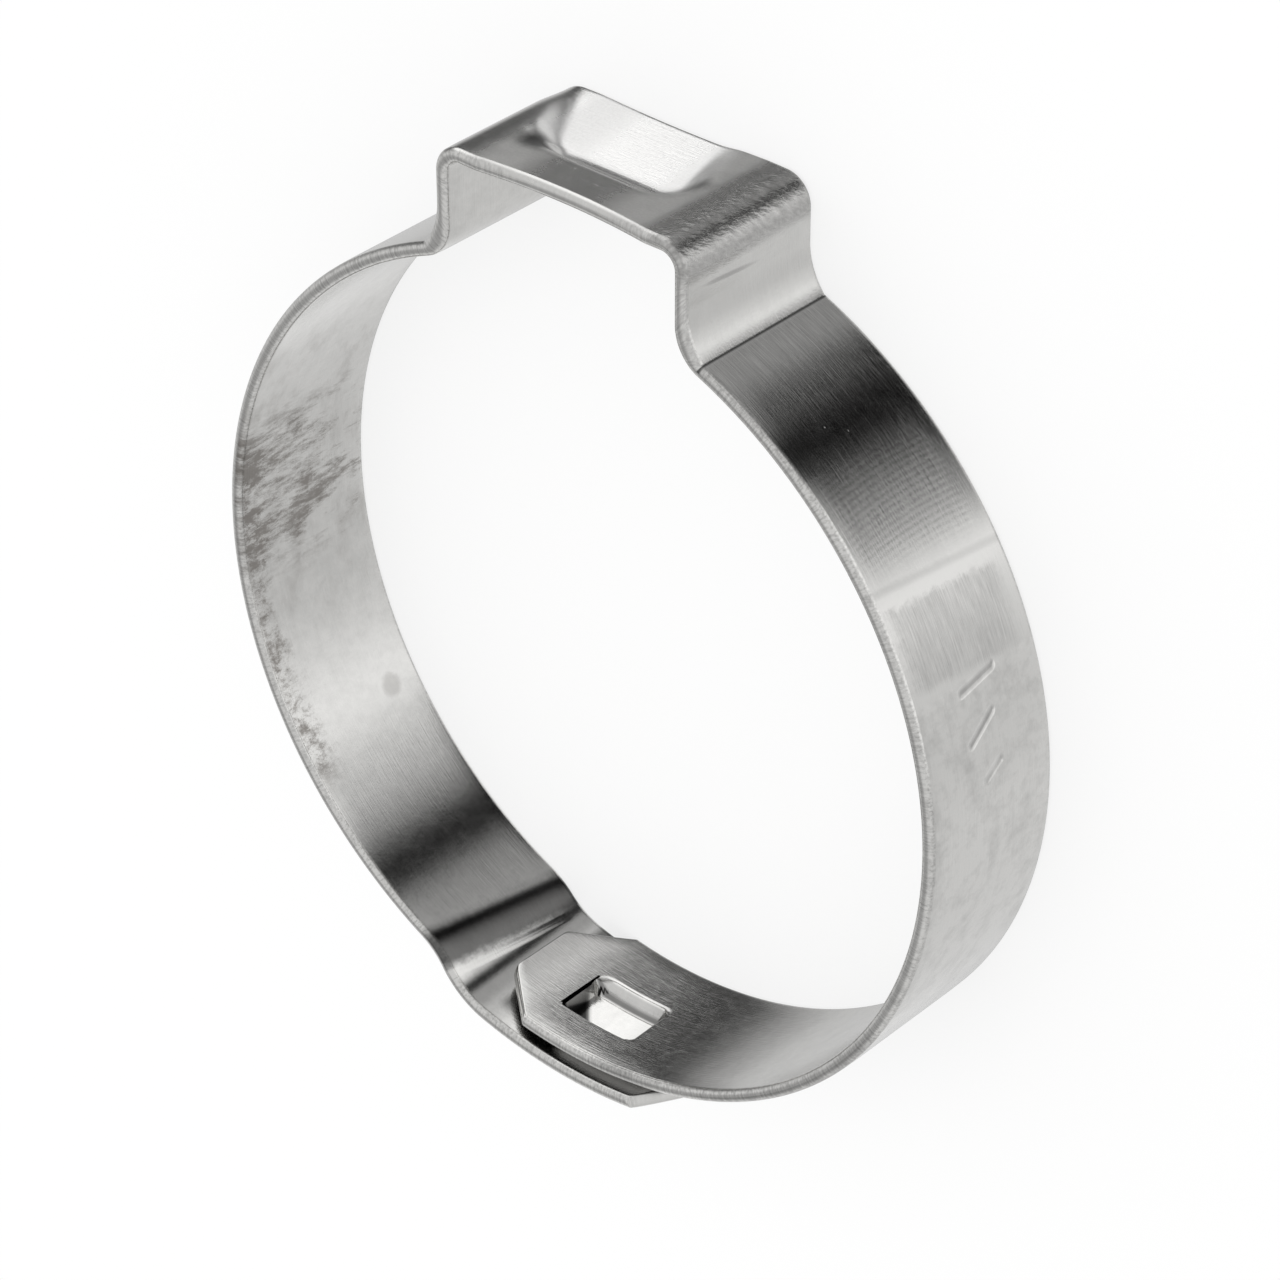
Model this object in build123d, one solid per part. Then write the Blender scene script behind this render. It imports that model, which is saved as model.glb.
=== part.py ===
"""One-ear hose clamp: a single stainless strip rolled into a ring, with its ends hooked together.

The strip is followed from its inner end to its outer end:
  tongue, the inner end, with cut corners and a hook pressed outward,
  ring, right half,
  ear, two legs and a top with a pressed dimple,
  ring, left half,
  joggle, which steps the strip outward by more than its thickness,
  outer end, which lies over the tongue and has a window for the hook.

The ring's axis is +Z, the ring rests on its edge at Z = 0, and the ear points to +Y.
Lengths are in millimetres. Angles are in degrees, counter-clockwise from +X as seen from +Z.
"""
from build123d import *

import os
from math import acos, atan2, cos, degrees, radians, sin, sqrt

# Strip and ring
BAND_WIDTH = 7.0
BAND_THICK = 0.6
RING_BORE = 34.6
EDGE_BREAK = 0.1

# Ear: clear width between its legs, rise of its top above the ring, inner bend radii
EAR_GAP = 10.9
EAR_RISE = 3.15
EAR_BEND = 0.6
SHOULDER_BEND = 1.8

# Dimple: margins on the ear's top, then the length of its sloping sides
DIMPLE_DEPTH = 0.45
DIMPLE_END_MARGIN = 1.0
DIMPLE_TOP_MARGIN = 1.5
DIMPLE_BOTTOM_RUNOUT = 0.9
DIMPLE_END_SLOPE = 1.55
DIMPLE_TOP_SLOPE = 1.6
DIMPLE_BOTTOM_SLOPE = 2.4
DIMPLE_RIM_CORNER = 1.7
DIMPLE_FLOOR_CORNER = 0.6
# Points on the sloping sides, each as a share of the depth and a share of the slope's length
DIMPLE_SLOPE_SHAPE = ((0.15, 0.3), (0.85, 0.7))

# Inward bow of the edges of the ear's top, drawn in by the dimple
DRAW_DEPTH = 0.25
DRAW_END_MARGIN = 0.8

# Tongue: angle of its tip on the ring, width left flat at the tip, length of the cut corners
TONGUE_ANGLE = 254.85
TONGUE_FLAT = 3.3
TONGUE_TAPER = 2.2

# Overlap: clear gap between the layers at the two edges, and the joggle's bend radii
LAP_GAP_BOTTOM = 0.12
LAP_GAP_TOP = 0.65
JOGGLE_PAST_TIP = 0.3
JOGGLE_FIRST_BEND = 1.6
JOGGLE_SECOND_BEND = 2.4
JOGGLE_LEAD = 1.0

# Hook: distance from the tongue's tip, size and height of its pocket, rise above the ring
HOOK_SETBACK = 2.6
HOOK_MOUTH = 0.4
HOOK_LENGTH = 3.9
HOOK_WIDTH = 2.3
HOOK_HEIGHT = 4.05
HOOK_RISE = 0.95
HOOK_WALL = 0.4
HOOK_DRAFT = 0.35
HOOK_CORNER = 0.4
HOOK_CROWN_BREAK = 0.2

# Outer end: room around the hook, strip left past the window, cut corners
WINDOW_CLEARANCE = 0.3
OUTER_MARGIN = 2.1
OUTER_FLAT = 3.6
OUTER_TAPER = 1.7

QUARTER = 90.0
HALF = 180.0
FULL = 360.0

BORE_R = RING_BORE / 2
RIM_R = BORE_R + BAND_THICK
EAR_HALF = EAR_GAP / 2
EAR_IN_Y = RIM_R + EAR_RISE - BAND_THICK
EAR_OUT_Y = EAR_IN_Y + BAND_THICK
FLAT_HALF = EAR_HALF - EAR_BEND
SHOULDER_X = EAR_HALF + SHOULDER_BEND
SHOULDER_Y = sqrt((BORE_R + SHOULDER_BEND) ** 2 - SHOULDER_X**2)
SHOULDER_ANGLE = degrees(atan2(SHOULDER_Y, SHOULDER_X))
SPARE = BAND_THICK


def turn(length, radius):
    """Angle that a length takes up on a circle."""
    return degrees(length / radius)


def joggle_turn(step):
    """Angle of a joggle: two tangent bends between the ring and a circle one step larger."""
    first = BORE_R + JOGGLE_FIRST_BEND
    second = BORE_R + step - JOGGLE_SECOND_BEND
    apart = JOGGLE_FIRST_BEND + JOGGLE_SECOND_BEND
    return degrees(acos((first**2 + second**2 - apart**2) / (2 * first * second)))


HOOK_TOP = RIM_R + HOOK_RISE
STEP_BOTTOM = BAND_THICK + LAP_GAP_BOTTOM
STEP_TOP = BAND_THICK + LAP_GAP_TOP
JOGGLE_END = TONGUE_ANGLE + turn(JOGGLE_PAST_TIP, RIM_R)
SPLIT_ANGLE = JOGGLE_END - joggle_turn(max(STEP_BOTTOM, STEP_TOP)) - turn(JOGGLE_LEAD, RIM_R)
HOOK_START = TONGUE_ANGLE + turn(HOOK_SETBACK, BORE_R)
HOOK_FRONT = HOOK_START + turn(HOOK_MOUTH, BORE_R)
HOOK_MIDDLE = HOOK_START + turn(HOOK_LENGTH / 2, BORE_R)
HOOK_BACK = HOOK_START + turn(HOOK_LENGTH + HOOK_WALL, BORE_R)
WINDOW_START = HOOK_FRONT - turn(WINDOW_CLEARANCE, RIM_R)
WINDOW_END = HOOK_BACK + turn(WINDOW_CLEARANCE, RIM_R)
OUTER_ANGLE = WINDOW_END + turn(OUTER_MARGIN, RIM_R)


def polar(radius, angle):
    """Point at a radius and angle from the ring's axis."""
    return (radius * cos(radians(angle)), radius * sin(radians(angle)))


def arc(centre, radius, start, end):
    """Arc between two angles, either way round."""
    return CenterArc(centre, radius, start, end - start)


def strip_face(line):
    """Flat face between a line of the strip at the bore side and the same line at the rim side."""
    inner = line(0.0)
    outer = line(BAND_THICK)
    caps = [Line(inner[0] @ 0, outer[0] @ 0), Line(inner[-1] @ 1, outer[-1] @ 1)]
    return make_face(inner + outer + caps)


def ring_line(offset):
    """Side view of the tongue, ring and ear, at a distance outside the bore."""
    radius = BORE_R + offset
    leg = EAR_HALF + offset
    shoulder = SHOULDER_BEND - offset
    bend = EAR_BEND + offset
    bend_y = EAR_IN_Y - EAR_BEND
    return [
        arc((0, 0), radius, TONGUE_ANGLE, FULL + SHOULDER_ANGLE),
        arc((SHOULDER_X, SHOULDER_Y), shoulder, HALF + SHOULDER_ANGLE, HALF),
        Line((leg, SHOULDER_Y), (leg, bend_y)),
        arc((FLAT_HALF, bend_y), bend, 0, QUARTER),
        Line((FLAT_HALF, EAR_IN_Y + offset), (-FLAT_HALF, EAR_IN_Y + offset)),
        arc((-FLAT_HALF, bend_y), bend, QUARTER, HALF),
        Line((-leg, bend_y), (-leg, SHOULDER_Y)),
        arc((-SHOULDER_X, SHOULDER_Y), shoulder, 0, -SHOULDER_ANGLE),
        arc((0, 0), radius, HALF - SHOULDER_ANGLE, SPLIT_ANGLE),
    ]


def outer_face(step, height):
    """Side view of the joggle and the outer end at one height."""
    start = JOGGLE_END - joggle_turn(step)
    first = polar(BORE_R + JOGGLE_FIRST_BEND, start)
    second = polar(BORE_R + step - JOGGLE_SECOND_BEND, JOGGLE_END)
    lean = degrees(atan2(second[1] - first[1], second[0] - first[0]))
    swing = (lean - start - HALF) % FULL - FULL

    def line(offset):
        return [
            arc((0, 0), BORE_R + offset, SPLIT_ANGLE, start),
            arc(first, JOGGLE_FIRST_BEND - offset, start + HALF, start + HALF + swing),
            arc(second, JOGGLE_SECOND_BEND + offset, start + swing, JOGGLE_END),
            arc((0, 0), BORE_R + step + offset, JOGGLE_END, OUTER_ANGLE),
        ]

    return Pos(0, 0, height) * strip_face(line)


def break_edges(body):
    """Take the sharp corner off the edges that run along the strip."""
    ends = body.faces().filter_by(Axis.Z)
    low = ends.sort_by(Axis.Z)[0]
    high = ends.sort_by(Axis.Z)[-1]
    return chamfer(low.edges() + high.edges(), EDGE_BREAK)


def cut_corners(body, radius, angle, flat, taper, side):
    """Cut both corners off an end of the strip. The strip runs from its end to the given side."""
    drop = (BAND_WIDTH - flat) / 2
    spare = SPARE / taper
    foot = (-side * spare * taper, BAND_WIDTH - drop - spare * drop)
    tip = (side * (taper + spare * taper), BAND_WIDTH + spare * drop)
    top = [foot, tip, (foot[0], tip[1])]
    bottom = [(along, BAND_WIDTH - height) for along, height in top]
    outward = (*polar(1, angle), 0)
    along = (*polar(1, angle + QUARTER), 0)
    plane = Plane(origin=(*polar(radius, angle), 0), x_dir=along, z_dir=outward)
    for corner in (top, bottom):
        wedge = extrude(make_face(Polyline(*corner, close=True)), amount=radius / 4, both=True)
        body -= plane * wedge
    return body


def pressed_form(plane, sections):
    """Solid through rounded rectangles on parallel planes. Each gives a height, size, centre and corner."""
    faces = []
    for height, length, width, shift, corner in sections:
        outline = RectangleRounded(length, width, corner)
        faces.append((plane * Pos(0, shift, height) * outline).face())
    return loft(faces, ruled=True)


def hook_sections(low, high, grow):
    """Sections of the hook between two radii: narrower outward, with a broken edge round the crown."""
    sections = []
    for radius, inset in ((low, 0), (high - HOOK_CROWN_BREAK, 0), (high, HOOK_CROWN_BREAK)):
        lean = HOOK_DRAFT * (radius - BORE_R) / (HOOK_TOP - BORE_R)
        length = HOOK_LENGTH + 2 * (grow - lean - inset)
        width = HOOK_WIDTH + 2 * (grow - lean - inset)
        sections.append((radius, length, width, HOOK_HEIGHT, HOOK_CORNER + grow))
    return sections


def press_hook(tongue):
    """Press the hook out of the tongue: a hood with a closed back and an open front."""
    outward = (*polar(1, HOOK_MIDDLE), 0)
    along = (*polar(1, HOOK_MIDDLE + QUARTER), 0)
    plane = Plane(origin=(0, 0, 0), x_dir=along, z_dir=outward)
    hood = pressed_form(plane, hook_sections(BORE_R + BAND_THICK / 4, HOOK_TOP, HOOK_WALL))
    hollow = pressed_form(plane, hook_sections(BORE_R - SPARE, HOOK_TOP - HOOK_WALL, 0))
    front = HOOK_MOUTH - HOOK_LENGTH / 2
    behind = plane * Pos(front + HOOK_LENGTH, HOOK_HEIGHT, BORE_R) * Box(2 * HOOK_LENGTH, BAND_WIDTH, BORE_R)
    return tongue + (hood & behind) - hollow


def cut_window(outer_end):
    """Cut the window that the hook stands in, with the same clearance all round."""
    width = HOOK_WIDTH + 2 * (HOOK_WALL + WINDOW_CLEARANCE)
    section = Pos(RIM_R, 0, HOOK_HEIGHT) * Rot(90, 0, 0) * Rectangle(BAND_WIDTH, width)
    room = revolve(section, axis=Axis.Z, revolution_arc=WINDOW_END - WINDOW_START)
    return outer_end - Rot(0, 0, WINDOW_START) * room


def dimple_solid(surface_y):
    """The dimple's shape below a flat surface: it dips gently, then steeply, then gently to its floor."""
    rim_length = 2 * (FLAT_HALF - DIMPLE_END_MARGIN)
    sections = []
    for dip, run in ((0, 0), *DIMPLE_SLOPE_SHAPE, (1, 1)):
        low = run * DIMPLE_BOTTOM_SLOPE - DIMPLE_BOTTOM_RUNOUT
        high = BAND_WIDTH - DIMPLE_TOP_MARGIN - run * DIMPLE_TOP_SLOPE
        length = rim_length - 2 * run * DIMPLE_END_SLOPE
        corner = DIMPLE_RIM_CORNER + run * (DIMPLE_FLOOR_CORNER - DIMPLE_RIM_CORNER)
        sections.append((-dip * DIMPLE_DEPTH, length, high - low, (low + high) / 2, corner))
    plane = Plane(origin=(0, surface_y, 0), x_dir=(-1, 0, 0), z_dir=(0, 1, 0))
    return pressed_form(plane, sections)


def draw_edge(height, side):
    """Round bar that bows one edge of the ear's top inward."""
    half = FLAT_HALF - DRAW_END_MARGIN
    radius = (half**2 + DRAW_DEPTH**2) / (2 * DRAW_DEPTH)
    centre = height + side * (radius - DRAW_DEPTH)
    middle = (EAR_IN_Y + EAR_OUT_Y) / 2
    return Pos(0, middle, centre) * Rot(90, 0, 0) * Cylinder(radius, EAR_RISE)


def press_dimple(body):
    """Press the dimple into the ear's top, with its underside standing out by the same amount."""
    slab = Pos(0, EAR_IN_Y, BAND_WIDTH / 2) * Box(EAR_GAP, EAR_RISE, BAND_WIDTH)
    body += dimple_solid(EAR_IN_Y) & slab
    body -= dimple_solid(EAR_OUT_Y)
    body -= draw_edge(BAND_WIDTH, 1)
    body -= draw_edge(0, -1)
    return body


def make_ring():
    """Tongue, ring and ear, one height all through."""
    return extrude(strip_face(ring_line), amount=BAND_WIDTH)


def make_outer_end():
    """Joggle and outer end, a little further out at the top edge than at the bottom edge."""
    return loft([outer_face(STEP_BOTTOM, 0).face(), outer_face(STEP_TOP, BAND_WIDTH).face()], ruled=True)


def make_band():
    """The whole clamp."""
    ring = make_ring()
    ring = cut_corners(ring, RIM_R, TONGUE_ANGLE, TONGUE_FLAT, TONGUE_TAPER, 1)
    outer_end = make_outer_end()
    outer_end = cut_corners(outer_end, RIM_R, OUTER_ANGLE, OUTER_FLAT, OUTER_TAPER, -1)
    outer_end = cut_window(outer_end)
    band = break_edges(ring + outer_end)
    return press_hook(press_dimple(band))


clamp_band = make_band()
print("solids", len(clamp_band.solids()), "volume", round(clamp_band.volume, 2))
print("overlap", round(WINDOW_START, 2), round(OUTER_ANGLE, 2), "split", round(SPLIT_ANGLE, 2))


os.makedirs("parts", exist_ok=True)
export_step(clamp_band, "parts/clamp_band.step")
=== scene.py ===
from math import acos, atan2, cos, degrees, pi, radians, sin, sqrt

import bmesh
import bpy
import numpy as np
from bpy.props import FloatProperty, FloatVectorProperty, PointerProperty
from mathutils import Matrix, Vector


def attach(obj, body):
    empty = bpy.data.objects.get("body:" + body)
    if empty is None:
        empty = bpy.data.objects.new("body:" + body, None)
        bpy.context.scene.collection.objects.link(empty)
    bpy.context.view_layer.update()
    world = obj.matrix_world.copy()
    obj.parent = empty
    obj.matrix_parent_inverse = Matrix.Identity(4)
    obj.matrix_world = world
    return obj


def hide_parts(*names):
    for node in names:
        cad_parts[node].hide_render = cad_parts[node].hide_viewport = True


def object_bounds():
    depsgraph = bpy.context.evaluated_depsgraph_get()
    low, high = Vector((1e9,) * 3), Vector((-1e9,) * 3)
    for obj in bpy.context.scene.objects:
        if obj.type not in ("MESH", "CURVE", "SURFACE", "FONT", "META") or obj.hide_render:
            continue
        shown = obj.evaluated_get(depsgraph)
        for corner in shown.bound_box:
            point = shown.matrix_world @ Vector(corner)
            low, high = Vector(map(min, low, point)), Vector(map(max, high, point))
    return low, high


bl_info = {
    "name": "One-ear hose clamp",
    "version": (1, 0, 0),
    "blender": (4, 5, 0),
    "location": "View3D > Sidebar > Hose Clamp",
    "description": "A stainless one-ear hose clamp, its steel finish and a plain studio",
    "category": "Add Mesh",
}

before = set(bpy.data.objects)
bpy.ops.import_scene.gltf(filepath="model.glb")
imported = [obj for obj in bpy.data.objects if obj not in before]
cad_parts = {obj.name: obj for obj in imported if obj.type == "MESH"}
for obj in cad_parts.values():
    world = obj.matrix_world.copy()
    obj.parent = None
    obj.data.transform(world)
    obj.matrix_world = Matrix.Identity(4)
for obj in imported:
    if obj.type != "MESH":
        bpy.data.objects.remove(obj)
CAD_BOX = [[float(value) for value in corner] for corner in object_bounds()]
CAD_WIDTH = CAD_BOX[1][2] - CAD_BOX[0][2]

# Lengths below are in millimetres and angles in degrees, counter-clockwise from +X about the ring's axis.
MM = 0.001

# Ear: the bends at its top, and the shoulders where its legs leave the ring.
EAR_BEND = 0.6
SHOULDER_BEND = 1.8
SHOULDER_SLOPE_BEND = 3.2
SHOULDER_CREASE = 0.12

# Dimple in the ear's top, from the top's middle and the resting edge.
DIMPLE_LEFT = -6.3
DIMPLE_LEFT_SLANT = 0.5
DIMPLE_RIGHT = 3.15
DIMPLE_RIGHT_SLANT = 0.2
DIMPLE_NEAR = 5.1
DIMPLE_SLOPE = 1.6
DIMPLE_CORNER = 2.15
DIMPLE_FAR = -0.5
DIMPLE_FAR_SLOPE = 4.6
# Each punch mark: x, height, spread along x, spread along the height, depth.
PUNCH_MARKS = ((-3.2, 4.25, 0.7, 0.5, 0.2), (-3.0, 3.95, 0.27, 0.24, -0.17), (2.9, 2.9, 0.25, 0.7, 0.06))

# How far the long edges of the ear's top are drawn in, over half its length.
NEAR_BOW = 0.28
FAR_BOW = 0.12
BOW_HALF = 4.05

# Tongue, the lap's gap at the bottom and the top edge, and the joggle that steps the strip over the tongue.
TONGUE_ANGLE = 254.85
TONGUE_FLAT = 3.3
TONGUE_TAPER = 2.2
LAP_GAP_BOTTOM = 0.12
LAP_GAP_TOP = 0.65
JOGGLE_PAST_TIP = 0.3
JOGGLE_FIRST_BEND = 3.6
JOGGLE_SECOND_BEND = 3.2
JOGGLE_LEAD = 1.0

# Hook pressed outward from the tongue.
HOOK_SETBACK = 2.6
HOOK_MOUTH = 0.1
HOOK_LENGTH = 3.9
HOOK_WIDTH = 2.3
HOOK_HEIGHT = 4.05
HOOK_RISE = 0.95
HOOK_WALL = 0.4
HOOK_SIDE = 0.45
HOOK_DEPTH = 0.8
HOOK_TILT = 0.16
HOOK_BACK_SLOPE = 0.65
HOOK_STEEP_SIDE = 0.35
HOOK_STEEP_START = 0.1
HOOK_SLOW_SIDE = 0.7
HOOK_SLOW_START = 0.3
HOOK_RAMP = 0.9
HOOK_RAMP_LEAST = 0.02
HOOK_RAMP_HEIGHT = -0.6
HOOK_RAMP_FADE = 0.6
LANCE = 0.012

# Window for the hook, and the outer end past it.
WINDOW_CLEARANCE = 0.3
WINDOW_LEAD = 0.1
OUTER_MARGIN = 2.1
OUTER_FLAT = 3.6
OUTER_TAPER = 1.7

# Rounding of the cut ends, and the crown that thins the strip towards its long edges.
TIP_ROUND = 0.25
CUT_FACE_ROUND = 0.08
CROWN_DROP = 0.022
CROWN_REACH = 0.9
CROWN_FADE = 1

# Spacing and counts of the mesh's columns and rows.
TIP_STEP_ANGLE = 0.35
BACK_BAND = (-3, 0.3)
RIGHT_STEPS, LEFT_STEPS = (0.08, 0.5, 0.4, 0.7, 1, 0.45, 0.45, 0.22, 1.3), (1.3,)
OUTER_STEPS = (1, 1, 0.6, 0.5, 0.08)
BEND_COLUMNS, TOP_COLUMNS, LEG_COLUMNS, LEAD_COLUMNS = 14, 84, 8, 6
CREASE_COLUMNS, SLOPE_COLUMNS = 8, 22
JOGGLE_COLUMNS = (16, 20)
EDGE_ROWS = 7
EDGE_BAND, HOOK_BAND = 0.07, 0.6
ROW_STEPS = (EDGE_BAND, 0.19, 0.09, 0.08, 0.15, 0.08, 0.09, 0.19, EDGE_BAND)
SHARP_ANGLE = 38

# Painted shade, as shares, with their places: in the hook's mouth and at the foot of its slow side, on the cut end,
# and between the two layers of the lap, on the outside of the inner one and on the inside of the outer one.
MOUTH_CORNER, MOUTH_SLANT, MOUTH_SOFT, MOUTH_TOP = 0.75, 1.15, 0.4, 5.3
FOOT_SHARE, FOOT_BELOW, FOOT_HALF = 0.75, 0.95, 0.14
CUT_END_SHARE, CUT_END_REACH = 0.8, 0.05
UNDER_SHARE = 0.55
OVER_SHARE, OVER_LIT, OVER_LIT_HEIGHT, OVER_LIT_FADE, OVER_REACH = 0.8, 0.75, 5.7, 0.9, 1.04


def length(name, description, default):
    return FloatProperty(name=name, description=description, default=default, unit="LENGTH", precision=5)


def colour(name, description, default):
    return FloatVectorProperty(name=name, description=description, default=default, subtype="COLOR", size=3, min=0,
                               max=1)


def factor(name, description, default):
    return FloatProperty(name=name, description=description, default=default, subtype="FACTOR", min=0, max=1)


class ClampSizes(bpy.types.PropertyGroup):
    """Sizes of the strip that a user would change."""

    width: length("Width", "Width of the strip", CAD_WIDTH)
    thickness: length("Thickness", "Thickness of the strip", 0.0006)
    bore: length("Bore", "Inner diameter of the ring", 0.0346)
    ear_gap: length("Ear gap", "Clear width between the ear's legs", 0.0109)
    ear_rise: length("Ear rise", "Rise of the ear's top above the ring", 0.00315)
    dimple_depth: length("Dimple depth", "Depth of the dimple in the ear's top", 0.00072)
    edge_round: length("Edge round", "How far the rolled long edges curve in from the width", 0.0002)


class ClampFinish(bpy.types.PropertyGroup):
    """Colours and gloss of the steel."""

    steel: colour("Steel", "Colour of clean steel", (0.66, 0.655, 0.64))
    stain: colour("Stain", "Colour of the smudges and stains", (0.27, 0.255, 0.24))
    roughness: factor("Roughness", "Roughness of clean rolled steel", 0.15)
    grain: factor("Grain", "Strength of the rolled grain in the surface", 0.25)


class ClampStage(bpy.types.PropertyGroup):
    """Floor, lamp and lens."""

    floor: colour("Floor", "Colour of the floor", (0.9, 0.9, 0.9))
    floor_size: length("Floor size", "Side of the square floor", 3.0)
    lamp_power: FloatProperty(name="Lamp power", description="Power of the soft lamp", default=0.6, min=0,
                              unit="POWER")
    lamp_size: length("Lamp size", "Side of the soft lamp", 0.5)
    lens: FloatProperty(name="Lens", description="Focal length of the camera", default=136.39, unit="CAMERA")


# ---------------------------------------------------------------- strip


def evenly(start, end, count):
    """Evenly spaced numbers from start to end, without end itself."""
    return np.linspace(start, end, count, endpoint=False)


def spaced(marks, steps):
    """Numbers from the first mark to the last, through each mark, evenly spaced between marks by about its step."""
    parts = [evenly(low, high, max(1, int(np.ceil(abs(high - low) / step))))
             for low, high, step in zip(marks, marks[1:], steps)]
    return np.concatenate(parts + [np.array([marks[-1]])])


def ease(share):
    """S-curve from 0 to 1 that starts and ends level: 6t^5 - 15t^4 + 10t^3 of the share held between 0 and 1."""
    held = np.clip(share, 0, 1)
    return held**3 * (held * (6 * held - 15) + 10)


def turn(length, radius):
    """Angle that a length takes up on a circle."""
    return degrees(length / radius)


def polar(radius, angle):
    """Point at a radius and angle from the ring's axis."""
    return np.array([radius * cos(radians(angle)), radius * sin(radians(angle))])


def arc_run(centre, radius, angles, facing):
    """Arc: centre plus radius times (cos, sin) of each angle. The strip's outer side looks along facing times
    (cos, sin)."""
    way = np.stack([np.cos(np.radians(angles)), np.sin(np.radians(angles))], -1)
    return np.asarray(centre) + radius * way, facing * way


def line_run(start, end, count):
    """Straight run: start plus an even share of the way to end, without end itself. It has no side yet."""
    share = evenly(0, 1, count)[:, None]
    return np.asarray(start) + share * (np.asarray(end) - np.asarray(start))


def add_object(name, data):
    item = bpy.data.objects.new(name, data)
    bpy.context.collection.objects.link(item)
    return item


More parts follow.
